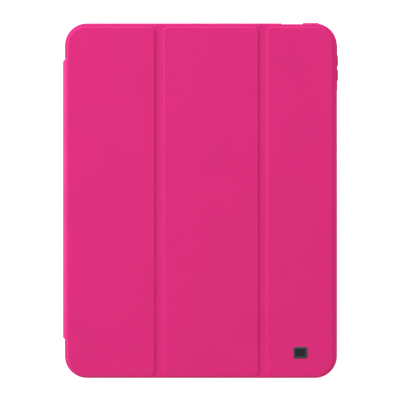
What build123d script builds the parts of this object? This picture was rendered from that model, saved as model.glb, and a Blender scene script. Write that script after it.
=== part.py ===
from build123d import *
from dataclasses import dataclass
from math import cos, radians
import os

# Tri-fold folio case for a tablet, closed and lying on its back. +Z points out of the cover's
# leather face, +Y to the tablet's top edge and +X to the cover's free edge, with the spine at -X.
# The origin is the middle of the back. Millimetres throughout.

# ---------------------------------------------------------------- driving dimensions

# The tablet that the shell holds, and the room round it.
tablet_width = 214.9
tablet_length = 280.6
tablet_thickness = 6.4
tablet_side_room = 0.15
tablet_head_room = 0.2

# Back shell: a moulded tray with an inward lip.
back_thickness = 1.8
side_wall = 2.05
end_wall = 2.45
shell_corner_radius = 17.8
lip_thickness = 0.8
lip_overhang = 1.3
back_edge_radius = 2.0
rim_edge_radius = 0.7

# Cover: leather skin over stiff boards, with a soft lining.
skin_thickness = 0.7
board_thickness = 1.1
lining_thickness = 0.5
cover_gap = 0.3
cover_inset = 0.75
lining_inset = 0.6
panel_1_pitch = 77.7
panel_2_pitch = 83.45
groove_floor = 5.8
pad_corner_radius = 15.0
pad_groove_radius = 4.4
board_inset = 1.4
bevel_left_over = 0.05

# How far the foot of the raised pads stays inside the shell's outline.
pad_margin_top = 2.45
pad_margin_bottom = 1.2
pad_margin_free_edge = 2.8
pad_margin_spine = 1.65

# Spine strip and the flap that holds it to the back.
spine_proud = 1.65
spine_board_thickness = 0.8
spine_gap = 0.4
spine_margin_top = 30.6
spine_margin_bottom = 32.5
spine_head_radius = 5.0
spine_foot_radius = 2.0
spine_rebate_room = 0.5
spine_board_foot = 2.4
flap_reach = 38.0
flap_corner_radius = 6.0
flap_room = 0.3
glue_line = 0.05

# Living hinges: half the gap left in the solids at each crease.
crease_slack = 0.15
crease_spread = 1.7

# Magnets, held in slots in the boards.
magnet_length = 14.0
magnet_width = 4.0
magnet_thickness = 0.9
magnet_room = 0.1
magnet_edge_margin = 3.2
magnet_places = (-96.0, -32.0, 32.0, 96.0)
wake_magnet_radius = 3.0
wake_magnet_place = 64.0

# Badge, set into the leather near the lower free corner.
badge_width = 11.3
badge_height = 9.4
badge_thickness = 0.6
badge_sunk = 0.3
badge_corner_radius = 1.6
badge_bevel = 0.25
badge_from_free_edge = 29.6
badge_from_bottom = 20.5

# Buttons, each a cap with a flange behind it.
button_height = 3.4
button_room = 0.3
button_flange = 0.8
button_flange_thickness = 0.4
button_travel = 0.4
button_edge_radius = 0.6
volume_length = 8.8
volume_proud = 1.0
volume_up_from_top = 30.0
volume_down_from_top = 41.7
power_length = 13.1
power_proud = 0.5
power_from_side = 21.0

# Openings in the shell.
camera_opening = 33.0
camera_corner_radius = 9.0
camera_margin = 4.0
camera_bevel = 0.6
port_width = 15.0
port_height = 5.4
port_corner_radius = 2.0
speaker_length = 15.0
speaker_height = 3.4
speaker_from_side = 36.2
relief_length = 17.2
relief_depth = 0.9
relief_end_radius = 0.4
microphone_radius = 1.0
swell_height = 0.3
swell_length = 38.0
swell_width = 5.6
swell_taper = 10.0
swell_from_top = 36.0

# ---------------------------------------------------------------- worked out from them

bay_half_width = tablet_width / 2 + tablet_side_room
bay_half_length = tablet_length / 2 + tablet_side_room
bay_top = back_thickness + tablet_thickness + tablet_head_room
shell_half_width = bay_half_width + side_wall
shell_half_length = bay_half_length + end_wall
shell_height = bay_top + lip_thickness
bay_corner_radius = shell_corner_radius - side_wall
tablet_middle = back_thickness + tablet_thickness / 2

lining_bottom = shell_height + cover_gap
skin_bottom = lining_bottom + lining_thickness
board_top = skin_bottom + board_thickness
cover_top = board_top + skin_thickness

cover_half_width = shell_half_width - cover_inset
cover_half_length = shell_half_length - cover_inset
cover_corner_radius = shell_corner_radius - cover_inset
pad_high = shell_half_length - pad_margin_top
pad_low = -shell_half_length + pad_margin_bottom

spine_outer = -shell_half_width - spine_proud
spine_inner = spine_outer + skin_thickness + spine_board_thickness + lining_thickness
spine_rebate = spine_inner + spine_gap
spine_high = shell_half_length - spine_margin_top
spine_low = -shell_half_length + spine_margin_bottom
spine_length = spine_high - spine_low
head_center_x = spine_outer + spine_head_radius
head_center_z = cover_top - spine_head_radius
foot_center_x = spine_outer + spine_foot_radius
flap_edge = spine_outer + flap_reach
flap_recess = skin_thickness + glue_line

groove_1 = spine_outer + panel_1_pitch
groove_2 = groove_1 + panel_2_pitch
magnet_bottom = skin_bottom + (board_thickness - magnet_thickness) / 2

# Each sketch of a section stands at the strip's upper end and is extruded towards -Y.
spine_section = Plane.XZ.offset(-spine_high)

os.makedirs("parts", exist_ok=True)


@dataclass
class Panel:
    """One stiff panel: where its leather starts and ends, and where its raised pad does."""

    left: float
    right: float
    outer_left_radius: float
    outer_right_radius: float
    pad_left: float
    pad_right: float
    pad_left_radius: float
    pad_right_radius: float
    board_left: float


def save(piece, name):
    """Label a finished piece and write it as its own STEP file."""
    piece.part.label = name
    export_step(piece.part, f"parts/{name}.step")


def outline(left, right, low, high, left_radius=0.0, right_radius=0.0):
    """Flat shape between four edges, its left and right corners each with their own radius."""
    with BuildSketch(Plane.XY, mode=Mode.PRIVATE) as shape:
        with Locations(((left + right) / 2, (low + high) / 2)):
            Rectangle(right - left, high - low)
        if left_radius > 0:
            fillet(shape.vertices().group_by(Axis.X)[0], left_radius)
        if right_radius > 0:
            fillet(shape.vertices().group_by(Axis.X)[-1], right_radius)
    return shape.sketch


def crease_angle(radius):
    """Angle, in degrees, that the slack at a crease takes up on a bend of this radius."""
    return crease_slack / radians(radius)


def board_outline(panel):
    """Shape of the board under a panel's raised pad."""
    return outline(
        panel.board_left,
        panel.pad_right - board_inset,
        pad_low + board_inset,
        pad_high - board_inset,
        panel.pad_left_radius - board_inset,
        panel.pad_right_radius - board_inset,
    )


def make_skin(panel):
    """Leather of one panel: a flat border round a raised pad that is hollow for the board."""
    with BuildPart() as skin:
        with BuildSketch(Plane.XY.offset(skin_bottom)):
            add(
                outline(
                    panel.left,
                    panel.right,
                    -cover_half_length,
                    cover_half_length,
                    panel.outer_left_radius,
                    panel.outer_right_radius,
                )
            )
        extrude(amount=skin_thickness)
        with BuildSketch(Plane.XY.offset(skin_bottom)):
            add(
                outline(
                    panel.pad_left,
                    panel.pad_right,
                    pad_low,
                    pad_high,
                    panel.pad_left_radius,
                    panel.pad_right_radius,
                )
            )
        extrude(amount=cover_top - skin_bottom)
        chamfer(skin.faces().sort_by(Axis.Z)[-1].edges(), board_thickness - bevel_left_over)
        with BuildSketch(Plane.XY.offset(skin_bottom)):
            add(board_outline(panel))
        extrude(amount=board_thickness, mode=Mode.SUBTRACT)
    return skin


def make_board(panel, slots):
    """Stiff board of one panel, with a slot for each magnet it holds."""
    with BuildPart() as board:
        with BuildSketch(Plane.XY.offset(skin_bottom)):
            add(board_outline(panel))
        extrude(amount=board_thickness)
        if slots:
            with BuildSketch(Plane.XY.offset(skin_bottom)):
                with Locations(*slots):
                    Rectangle(magnet_width + 2 * magnet_room, magnet_length + 2 * magnet_room)
            extrude(amount=board_thickness, mode=Mode.SUBTRACT)
    return board


def make_lining(left, right, left_radius=0.0, right_radius=0.0):
    """Soft sheet on the tablet side, from one crease to the next."""
    with BuildPart() as lining:
        with BuildSketch(Plane.XY.offset(lining_bottom)):
            low = -cover_half_length + lining_inset
            add(outline(left, right, low, -low, left_radius, right_radius))
        extrude(amount=lining_thickness)
    return lining


def make_magnets(places):
    """Bar magnets lying along Y at the given places."""
    with BuildPart() as magnets:
        with BuildSketch(Plane.XY.offset(magnet_bottom)):
            with Locations(*places):
                Rectangle(magnet_width, magnet_length)
        extrude(amount=magnet_thickness)
    return magnets


def button_seat(plane, wall, length):
    """Slot that a button's cap passes through, from a wall's inner face, and its flange's pocket."""
    slot_height = button_height + 2 * button_room
    pocket = 2 * (button_room + button_flange)
    with BuildPart() as seat:
        with BuildSketch(plane):
            SlotOverall(length + 2 * button_room, slot_height)
        extrude(amount=2 * wall)
        with BuildSketch(plane):
            RectangleRounded(length + pocket, button_height + pocket, button_height / 2)
        extrude(amount=button_travel + button_flange_thickness)
    return seat


def make_button(plane, wall, length, proud):
    """Push button whose flange rests behind the slot and whose cap stands proud of the wall."""
    with BuildPart() as button:
        with BuildSketch(plane.offset(button_travel)):
            RectangleRounded(
                length + 2 * button_flange,
                button_height + 2 * button_flange,
                button_height / 2,
            )
        extrude(amount=button_flange_thickness)
        with BuildSketch(plane.offset(button_travel)):
            SlotOverall(length, button_height)
        extrude(amount=wall + proud - button_travel)
        cap = button.faces().sort_by(Axis(plane.origin, plane.z_dir))[-1]
        fillet(cap.edges(), button_edge_radius)
    return button


# ---------------------------------------------------------------- back shell and its buttons

volume_up_y = shell_half_length - volume_up_from_top
volume_down_y = shell_half_length - volume_down_from_top
power_x = shell_half_width - power_from_side
speaker_x = shell_half_width - speaker_from_side
camera_x = tablet_width / 2 - camera_margin - camera_opening / 2
camera_y = tablet_length / 2 - camera_margin - camera_opening / 2
swell_y = shell_half_length - swell_from_top

side_face = Plane.YZ.offset(bay_half_width)
volume_up_plane = side_face.shift_origin((bay_half_width, volume_up_y, tablet_middle))
volume_down_plane = side_face.shift_origin((bay_half_width, volume_down_y, tablet_middle))
swell_plane = side_face.shift_origin((bay_half_width, swell_y, tablet_middle))
top_face = Plane(
    origin=(0, bay_half_length, tablet_middle), x_dir=(1, 0, 0), z_dir=(0, 1, 0)
)
bottom_face = Plane(
    origin=(0, -bay_half_length, tablet_middle), x_dir=(1, 0, 0), z_dir=(0, -1, 0)
)
power_plane = Plane(
    origin=(power_x, bay_half_length, tablet_middle), x_dir=(1, 0, 0), z_dir=(0, 1, 0)
)

with BuildPart() as back_shell:
    with BuildSketch():
        RectangleRounded(2 * shell_half_width, 2 * shell_half_length, shell_corner_radius)
    extrude(amount=shell_height)
    fillet(back_shell.faces().sort_by(Axis.Z)[0].edges(), back_edge_radius)
    fillet(back_shell.faces().sort_by(Axis.Z)[-1].edges(), rim_edge_radius)

    # The side wall is slightly thicker round the volume buttons.
    with BuildSketch(swell_plane):
        SlotOverall(swell_length, swell_width)
    extrude(amount=side_wall + swell_height, taper=swell_taper)

    # Tablet bay, and the narrower mouth inside the lip.
    with BuildSketch(Plane.XY.offset(back_thickness)):
        RectangleRounded(2 * bay_half_width, 2 * bay_half_length, bay_corner_radius)
    extrude(amount=bay_top - back_thickness, mode=Mode.SUBTRACT)
    with BuildSketch(Plane.XY.offset(bay_top)):
        RectangleRounded(
            2 * (bay_half_width - lip_overhang),
            2 * (bay_half_length - lip_overhang),
            bay_corner_radius - lip_overhang,
        )
    extrude(amount=lip_thickness, mode=Mode.SUBTRACT)

    # Rebate down the spine side, and the shallow recess for the flap.
    rebate_low = spine_low - spine_rebate_room
    rebate_high = spine_high + spine_rebate_room
    with BuildSketch():
        add(outline(2 * spine_outer, spine_rebate, rebate_low, rebate_high))
    extrude(amount=shell_height, mode=Mode.SUBTRACT)
    with BuildSketch():
        add(
            outline(
                2 * spine_outer,
                flap_edge + flap_room,
                rebate_low,
                rebate_high,
                right_radius=flap_corner_radius + flap_room,
            )
        )
    extrude(amount=flap_recess, mode=Mode.SUBTRACT)

    # Camera opening, wider at the outside.
    with BuildSketch():
        with Locations((camera_x, camera_y)):
            RectangleRounded(camera_opening, camera_opening, camera_corner_radius)
    extrude(amount=back_thickness, mode=Mode.SUBTRACT)
    with BuildSketch():
        with Locations((camera_x, camera_y)):
            camera_mouth = camera_opening + 2 * camera_bevel
            camera_mouth_radius = camera_corner_radius + camera_bevel
            RectangleRounded(camera_mouth, camera_mouth, camera_mouth_radius)
    extrude(amount=camera_bevel, taper=45, mode=Mode.SUBTRACT)

    # Port and speaker slots in the bottom wall, speaker slots and microphone in the top wall.
    with BuildSketch(bottom_face):
        RectangleRounded(port_width, port_height, port_corner_radius)
        with Locations((-speaker_x, 0), (speaker_x, 0)):
            SlotOverall(speaker_length, speaker_height)
    extrude(amount=2 * end_wall, mode=Mode.SUBTRACT)
    with BuildSketch(top_face):
        Circle(microphone_radius)
        with Locations((-speaker_x, 0), (speaker_x, 0)):
            SlotOverall(speaker_length, speaker_height)
    extrude(amount=2 * end_wall, mode=Mode.SUBTRACT)

    # Relief in the top edge round the speaker slot beside the power button.
    with BuildSketch():
        with Locations((speaker_x, shell_half_length)):
            RectangleRounded(relief_length, 2 * relief_depth, relief_end_radius)
    extrude(amount=shell_height, mode=Mode.SUBTRACT)

    # Seats for the three buttons.
    add(button_seat(volume_up_plane, side_wall, volume_length).part, mode=Mode.SUBTRACT)
    add(button_seat(volume_down_plane, side_wall, volume_length).part, mode=Mode.SUBTRACT)
    add(button_seat(power_plane, end_wall, power_length).part, mode=Mode.SUBTRACT)
save(back_shell, "back_shell")

volume_up_button = make_button(volume_up_plane, side_wall, volume_length, volume_proud)
save(volume_up_button, "volume_up_button")
volume_down_button = make_button(volume_down_plane, side_wall, volume_length, volume_proud)
save(volume_down_button, "volume_down_button")
power_button = make_button(power_plane, end_wall, power_length, power_proud)
save(power_button, "power_button")

# ---------------------------------------------------------------- flap and spine strip

head_middle_radius = spine_head_radius - skin_thickness / 2
foot_middle_radius = spine_foot_radius - skin_thickness / 2
head_slack = crease_angle(head_middle_radius)
foot_slack = crease_angle(foot_middle_radius)

with BuildPart() as back_flap_skin:
    with BuildSketch(spine_section):
        with BuildLine():
            bend = CenterArc(
                (foot_center_x, spine_foot_radius),
                foot_middle_radius,
                270,
                -(45 - foot_slack),
            )
            Line(bend @ 0, (flap_edge, skin_thickness / 2))
        trace(line_width=skin_thickness)
    extrude(amount=spine_length)
    inner_corners = back_flap_skin.edges().filter_by(Axis.Z).group_by(Axis.X)[-1]
    fillet(inner_corners, flap_corner_radius)
save(back_flap_skin, "back_flap_skin")

with BuildPart() as spine_skin:
    with BuildSketch(spine_section):
        with BuildLine():
            foot = CenterArc(
                (foot_center_x, spine_foot_radius),
                foot_middle_radius,
                180,
                45 - foot_slack,
            )
            head = CenterArc(
                (head_center_x, head_center_z),
                head_middle_radius,
                180,
                -(45 - head_slack),
            )
            Line(foot @ 0, head @ 0)
        trace(line_width=skin_thickness)
    extrude(amount=spine_length)
save(spine_skin, "spine_skin")

spine_board_face = spine_outer + skin_thickness
spine_lining_face = spine_board_face + spine_board_thickness

with BuildPart() as spine_board:
    with BuildSketch(Plane.XY.offset(spine_board_foot)):
        add(
            outline(
                spine_board_face,
                spine_lining_face,
                spine_low + board_inset,
                spine_high - board_inset,
            )
        )
    extrude(amount=head_center_z - spine_board_foot)
save(spine_board, "spine_board")

with BuildPart() as spine_lining:
    with BuildSketch(Plane.XY.offset(spine_foot_radius)):
        add(
            outline(
                spine_lining_face,
                spine_inner,
                spine_low + lining_inset,
                spine_high - lining_inset,
            )
        )
    extrude(amount=head_center_z + lining_thickness - spine_foot_radius)
save(spine_lining, "spine_lining")

# ---------------------------------------------------------------- panels

half_floor = groove_floor / 2
panel_1 = Panel(
    left=-cover_half_width,
    right=groove_1 - crease_spread - crease_slack,
    outer_left_radius=cover_corner_radius,
    outer_right_radius=0.0,
    pad_left=-shell_half_width + pad_margin_spine,
    pad_right=groove_1 - half_floor,
    pad_left_radius=pad_corner_radius,
    pad_right_radius=pad_groove_radius,
    board_left=head_center_x + lining_thickness,
)
panel_2 = Panel(
    left=groove_1 + crease_spread + crease_slack,
    right=groove_2 - crease_spread - crease_slack,
    outer_left_radius=0.0,
    outer_right_radius=0.0,
    pad_left=groove_1 + half_floor,
    pad_right=groove_2 - half_floor,
    pad_left_radius=pad_groove_radius,
    pad_right_radius=pad_groove_radius,
    board_left=groove_1 + half_floor + board_inset,
)
panel_3 = Panel(
    left=groove_2 + crease_spread + crease_slack,
    right=cover_half_width,
    outer_left_radius=0.0,
    outer_right_radius=cover_corner_radius,
    pad_left=groove_2 + half_floor,
    pad_right=shell_half_width - pad_margin_free_edge,
    pad_left_radius=pad_groove_radius,
    pad_right_radius=pad_corner_radius,
    board_left=groove_2 + half_floor + board_inset,
)

# The first panel's leather also rounds over towards the spine, as far as the upper crease.
with BuildPart() as panel_1_skin:
    add(make_skin(panel_1).part)
    with BuildSketch(spine_section):
        with BuildLine():
            shoulder = CenterArc(
                (head_center_x, head_center_z),
                head_middle_radius,
                90,
                45 - head_slack,
            )
            Line(shoulder @ 0, (head_center_x + lining_thickness, shoulder.position_at(0).Y))
        trace(line_width=skin_thickness)
    extrude(amount=spine_length)
save(panel_1_skin, "panel_1_skin")

panel_2_skin = make_skin(panel_2)
save(panel_2_skin, "panel_2_skin")

# The last panel's leather has a shallow seat for the badge.
badge_x = shell_half_width - badge_from_free_edge
badge_y = -shell_half_length + badge_from_bottom
with BuildPart() as panel_3_skin:
    add(make_skin(panel_3).part)
    with BuildSketch(Plane.XY.offset(cover_top - badge_sunk)):
        with Locations((badge_x, badge_y)):
            RectangleRounded(
                badge_width + 2 * glue_line,
                badge_height + 2 * glue_line,
                badge_corner_radius,
            )
    extrude(amount=badge_sunk, mode=Mode.SUBTRACT)
save(panel_3_skin, "panel_3_skin")

with BuildPart() as badge:
    with BuildSketch(Plane.XY.offset(cover_top - badge_sunk)):
        with Locations((badge_x, badge_y)):
            RectangleRounded(badge_width, badge_height, badge_corner_radius)
    extrude(amount=badge_thickness)
    chamfer(badge.faces().sort_by(Axis.Z)[-1].edges(), badge_bevel)
save(badge, "badge")

stand_magnet_x = panel_1.board_left + magnet_edge_margin
closure_magnet_x = panel_3.pad_right - board_inset - magnet_edge_margin
stand_places = [(stand_magnet_x, place) for place in magnet_places]
closure_places = [(closure_magnet_x, place) for place in magnet_places]

stand_magnets = make_magnets(stand_places)
save(stand_magnets, "stand_magnets")
closure_magnets = make_magnets(closure_places)
save(closure_magnets, "closure_magnets")

panel_1_board = make_board(panel_1, stand_places)
save(panel_1_board, "panel_1_board")
panel_2_board = make_board(panel_2, [])
save(panel_2_board, "panel_2_board")
with BuildPart() as panel_3_board:
    add(make_board(panel_3, closure_places).part)
    with BuildSketch(Plane.XY.offset(skin_bottom)):
        with Locations((closure_magnet_x, wake_magnet_place)):
            Circle(wake_magnet_radius + magnet_room)
    extrude(amount=board_thickness, mode=Mode.SUBTRACT)
save(panel_3_board, "panel_3_board")

with BuildPart() as wake_magnet:
    with BuildSketch(Plane.XY.offset(magnet_bottom)):
        with Locations((closure_magnet_x, wake_magnet_place)):
            Circle(wake_magnet_radius)
    extrude(amount=magnet_thickness)
save(wake_magnet, "wake_magnet")

lining_corner_radius = cover_corner_radius - lining_inset
panel_1_lining = make_lining(head_center_x, panel_1.right, pad_corner_radius)
save(panel_1_lining, "panel_1_lining")
panel_2_lining = make_lining(panel_2.left, panel_2.right)
save(panel_2_lining, "panel_2_lining")
lining_free_edge = cover_half_width - lining_inset
panel_3_lining = make_lining(panel_3.left, lining_free_edge, 0.0, lining_corner_radius)
save(panel_3_lining, "panel_3_lining")

# ---------------------------------------------------------------- fold strips

for number, groove in enumerate((groove_1, groove_2), start=1):
    strip_left = groove - crease_spread + crease_slack
    strip_right = groove + crease_spread - crease_slack
    with BuildPart() as fold_skin:
        with BuildSketch(Plane.XY.offset(skin_bottom)):
            add(outline(strip_left, strip_right, -cover_half_length, cover_half_length))
        extrude(amount=skin_thickness)
    save(fold_skin, f"fold_{number}_skin")
    fold_lining = make_lining(strip_left, strip_right)
    save(fold_lining, f"fold_{number}_lining")

# Crease lines, for the hinges.
head_drop = spine_head_radius * (1 - cos(radians(45)))
print("spine hinge", spine_outer - crease_slack, -crease_slack)
print("cover hinge", spine_outer + head_drop, cover_top - head_drop)
for number, groove in enumerate((groove_1, groove_2), start=1):
    print("roll", number, groove - crease_spread, lining_bottom - crease_slack)
    print("peek", number, groove + crease_spread, cover_top + crease_slack)
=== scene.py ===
"""Looks of a tri-fold tablet case: leather cover, moulded tray, microfibre lining, badge and studio.

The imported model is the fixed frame. Every piece is placed from the frame's own boxes, in metres,
with +Z out of the closed cover, +Y towards the tablet's top edge and the spine at -X.
"""

from __future__ import annotations

import logging
import math
from dataclasses import dataclass, replace
from enum import Enum
from typing import Iterable, Sequence

import bmesh
import bpy
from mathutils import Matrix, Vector
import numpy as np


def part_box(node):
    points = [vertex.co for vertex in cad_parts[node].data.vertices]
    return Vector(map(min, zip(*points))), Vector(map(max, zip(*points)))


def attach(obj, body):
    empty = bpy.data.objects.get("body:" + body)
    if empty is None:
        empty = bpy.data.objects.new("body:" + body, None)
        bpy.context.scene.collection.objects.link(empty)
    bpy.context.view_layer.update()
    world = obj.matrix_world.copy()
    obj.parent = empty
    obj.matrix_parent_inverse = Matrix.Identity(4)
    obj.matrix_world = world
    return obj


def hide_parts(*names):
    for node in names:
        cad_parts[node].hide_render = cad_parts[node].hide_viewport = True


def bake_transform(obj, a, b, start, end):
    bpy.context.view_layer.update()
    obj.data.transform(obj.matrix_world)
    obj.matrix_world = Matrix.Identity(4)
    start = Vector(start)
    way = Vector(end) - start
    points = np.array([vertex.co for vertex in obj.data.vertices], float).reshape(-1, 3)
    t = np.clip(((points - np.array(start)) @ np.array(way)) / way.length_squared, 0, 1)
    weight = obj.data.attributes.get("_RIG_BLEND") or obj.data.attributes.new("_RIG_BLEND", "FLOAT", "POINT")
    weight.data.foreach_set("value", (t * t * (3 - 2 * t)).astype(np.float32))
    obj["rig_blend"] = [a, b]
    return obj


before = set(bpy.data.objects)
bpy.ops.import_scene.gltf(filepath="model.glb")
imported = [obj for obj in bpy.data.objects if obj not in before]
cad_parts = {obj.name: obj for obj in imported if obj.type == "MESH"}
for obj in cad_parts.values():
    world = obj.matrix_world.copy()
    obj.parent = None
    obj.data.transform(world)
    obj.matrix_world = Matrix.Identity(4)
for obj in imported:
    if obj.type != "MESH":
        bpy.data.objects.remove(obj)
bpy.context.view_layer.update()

MM = 0.001
SHARP_EDGE = math.radians(38.0)
log = logging.getLogger("tablet_case")

Socket = bpy.types.NodeSocket
Piece = bpy.types.Object
Colour = tuple[float, float, float]
Inputs = dict[str | int, Socket | float | tuple[float, ...]]


def box_low(node: str) -> Vector:
    """Lowest corner of a CAD node at rest."""
    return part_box(node)[0]


def box_high(node: str) -> Vector:
    """Highest corner of a CAD node at rest."""
    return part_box(node)[1]


def eased(share: float) -> float:
    """Smooth step from 0 to 1 with level ends."""
    held = min(1.0, max(0.0, share))
    return held * held * (3.0 - 2.0 * held)


def quarter(count: int) -> list[float]:
    """Angles from 0 to a right angle in a number of even steps."""
    return [math.pi / 2 * i / count for i in range(count + 1)]


def placed(name: str, data: bpy.types.ID) -> Piece:
    """Puts a mesh, a lamp or a camera into the scene as a new object."""
    item = bpy.data.objects.new(name, data)
    bpy.context.scene.collection.objects.link(item)
    return item


# ---------------------------------------------------------------- finishes


def fill(node: bpy.types.Node, values: Inputs) -> bpy.types.Node:
    """Fills a node's inputs.

    Args:
        node: The node.
        values: For an input's name or number, a value to set or a socket to join.

    Returns:
        The same node.
    """
    for key, value in values.items():
        if isinstance(value, Socket):
            node.id_data.links.new(value, node.inputs[key])
        else:
            node.inputs[key].default_value = value
    return node


def add_node(tree: bpy.types.NodeTree, kind: str, values: Inputs, **options: str) -> bpy.types.Node:
    """Adds a node to a tree.

    Args:
        tree: The tree.
        kind: The node's type, without its common prefix.
        values: What its inputs take.
        options: Its own options, set before its inputs.

    Returns:
        The node.
    """
    node = tree.nodes.new(f"ShaderNode{kind}")
    for option, choice in options.items():
        setattr(node, option, choice)
    return fill(node, values)


class Placing(Enum):
    """Where a finish takes its grain's place from."""

    STORED = "place"
    OBJECT = "object"


class Recipe:
    """One material under construction, with short calls for the nodes that the finishes share."""

    def __init__(self, name: str, placing: Placing) -> None:
        """Starts a material with a surface shader and a place to take the grain from.

        Args:
            name: The material's name.
            placing: Whether the grain follows the stored place or the object's own space.
        """
        self.material = bpy.data.materials.new(name)
        self.material.use_nodes = True
        self.tree = self.material.node_tree
        self.shader = self.tree.nodes["Principled BSDF"]
        if placing is Placing.STORED:
            self.place = self.node("Attribute", {}, attribute_name=placing.value).outputs["Vector"]
        else:
            self.place = self.node("TexCoord", {}).outputs["Object"]

    def node(self, kind: str, values: Inputs, **options: str) -> bpy.types.Node:
        """Adds a node to the material."""
        return add_node(self.tree, kind, values, **options)

    def painted(self, **inputs: Socket | float | Colour) -> bpy.types.Material:
        """Fills the shader's inputs and hands over the material.

        Args:
            inputs: A socket, a value or a colour for each input; underscores stand for spaces.

        Returns:
            The material.
        """
        for key, value in inputs.items():
            full = (*value, 1.0) if isinstance(value, tuple) else value
            fill(self.shader, {key.replace("_", " "): full})
        return self.material

    def stretched(self, along: Colour) -> Socket:
        """The place scaled by a different amount on each axis, for a grain that runs one way."""
        return self.node("Mapping", {"Scale": along, "Vector": self.place}).outputs["Vector"]

    def noise(self, size: float, detail: float = 2.0, place: Socket | None = None) -> Socket:
        """Soft cloudy variation from 0 to 1, with clouds of a size in metres."""
        values = {"Scale": 1.0 / size, "Detail": detail, "Vector": place or self.place}
        return self.node("TexNoise", values).outputs["Fac"]

    def cells(self, size: float, smooth: float = 0.6) -> Socket:
        """Distance from the middle of rounded pebbles packed side by side, as on a leather grain."""
        values = {"Scale": 1.0 / size, "Smoothness": smooth, "Vector": self.place}
        return self.node("TexVoronoi", values, feature="SMOOTH_F1").outputs["Distance"]

    def stored(self, name: str) -> Socket:
        """A value kept on the mesh, such as how much of the lighter edge colour, rubbing plus painted
        highlight, a spot gets.
        """
        return self.node("Attribute", {}, attribute_name=name).outputs["Fac"]

    def ridges(self, low: float = 0.51, high: float = 0.6) -> Socket:
        """How far a spot stands on an outer edge of a moulded or cut piece, from 0 to 1."""
        return self.spread(self.node("NewGeometry", {}).outputs["Pointiness"], low, high, 0.0, 1.0)

    def spread(self, source: Socket, low: float, high: float, to_low: float, to_high: float) -> Socket:
        """Moves a value from one range to another, held at the ends."""
        values = {"Value": source, "From Min": low, "From Max": high, "To Min": to_low, "To Max": to_high}
        return self.node("MapRange", values).outputs["Result"]

    def times(self, first: Socket, second: Socket) -> Socket:
        """Product of two values."""
        return self.node("Math", {0: first, 1: second}, operation="MULTIPLY").outputs[0]

    def plus(self, first: Socket, second: Socket) -> Socket:
        """Sum of two values."""
        return self.node("Math", {0: first, 1: second}, operation="ADD").outputs[0]

    def mixed(self, share: Socket, first: Socket | Colour, second: Colour) -> Socket:
        """A colour between two others: the first at share 0 and the second at share 1."""
        start = (*first, 1.0) if isinstance(first, tuple) else first
        return self.node("Mix", {"Factor": share, 6: start, 7: (*second, 1.0)}, data_type="RGBA").outputs[2]

    def bumped(self, height: Socket, depth: float, strength: float, under: Socket | None = None) -> Socket:
        """Surface relief too fine to model.

        Args:
            height: The relief, from 0 to 1.
            depth: Its depth, in metres.
            strength: How much of it shows.
            under: The relief that it lies on.

        Returns:
            The bent normal.
        """
        values = {"Strength": strength, "Distance": depth, "Height": height}
        if under is not None:
            values["Normal"] = under
        return self.node("Bump", values).outputs["Normal"]


def toned(colour: Colour, by: float) -> Colour:
    """A colour made lighter or darker."""
    return tuple(min(1.0, channel * by) for channel in colour)


@dataclass(frozen=True)
class Leather:
    """Matt artificial leather with a fine pebble grain; its edges get a lighter, bluer colour that is partly
    rubbing and partly a painted highlight.
    """

    colour: Colour = (0.640, 0.0135, 0.144)
    # Lighter, bluer leather for the edges: partly rubbing, partly a painted highlight like light catching
    # the pad's shoulders.
    rubbed_and_highlit: Colour = (0.680, 0.0130, 0.175)
    roughness: float = 0.47
    pebble: float = 0.42 * MM
    pore: float = 0.13 * MM
    grain_depth: float = 0.045 * MM

    def material(self) -> bpy.types.Material:
        """The finish as a material.

        Returns:
            A new material.
        """
        mix = Recipe("leather_grain", Placing.STORED)
        clouds = mix.noise(38 * MM, 3.0)
        pebbles = mix.cells(self.pebble)
        pores = mix.noise(self.pore, 3.0)
        uneven = mix.mixed(mix.spread(clouds, 0.3, 0.7, 0.0, 1.0), self.colour, toned(self.colour, 0.96))
        valleys = mix.spread(pebbles, 0.45, 0.85, 0.0, 0.35)
        pebbled = mix.mixed(valleys, uneven, toned(self.colour, 0.86))
        # Mask for the lighter edge colour: the mesh's stored edge value broken up by noise; it paints a
        # highlight along with the rubbing.
        worn_and_highlit = mix.times(mix.stored("wear_and_highlight"), mix.spread(mix.noise(4 * MM, 4.0), 0.42, 0.66, 0.15, 0.75))
        rough = mix.spread(clouds, 0.3, 0.7, self.roughness - 0.03, self.roughness + 0.03)
        soft = mix.bumped(mix.noise(9 * MM, 2.0), 0.25 * MM, 0.12)
        grain = mix.bumped(pebbles, self.grain_depth, 0.9, soft)
        return mix.painted(
            Base_Color=mix.mixed(worn_and_highlit, pebbled, self.rubbed_and_highlit),
            Roughness=mix.plus(rough, mix.spread(worn_and_highlit, 0.0, 1.0, 0.0, -0.1)),
            Normal=mix.bumped(pores, 0.3 * self.grain_depth, 0.6, grain),
            IOR=1.42,
            Specular_IOR_Level=0.27,
        )


@dataclass(frozen=True)
class Moulded:
    """Soft-touch moulded plastic with a fine spark texture and lighter outer edges, partly rubbing and
    partly a painted highlight.
    """

    name: str
    colour: Colour
    roughness: float = 0.5
    texture: float = 0.16 * MM
    depth: float = 0.008 * MM

    def material(self) -> bpy.types.Material:
        """The finish as a material.

        Returns:
            A new material.
        """
        mix = Recipe(self.name, Placing.OBJECT)
        flow = mix.noise(26 * MM, 3.0)
        speck = mix.noise(self.texture, 2.0)
        body = mix.mixed(mix.spread(flow, 0.3, 0.7, 0.0, 1.0), self.colour, toned(self.colour, 0.95))
        # Outer edges get a lighter colour: rubbing along with a painted edge highlight.
        rubbed_and_highlit = mix.times(mix.ridges(), mix.spread(mix.noise(3 * MM, 3.0), 0.4, 0.65, 0.1, 0.6))
        rough = mix.spread(flow, 0.3, 0.7, self.roughness - 0.015, self.roughness + 0.015)
        return mix.painted(
            Base_Color=mix.mixed(rubbed_and_highlit, body, toned(self.colour, 1.12)),
            Roughness=mix.plus(rough, mix.spread(rubbed_and_highlit, 0.0, 1.0, 0.0, -0.12)),
            Normal=mix.bumped(speck, self.depth, 0.6),
            IOR=1.46,
            Specular_IOR_Level=0.35,
        )


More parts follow.
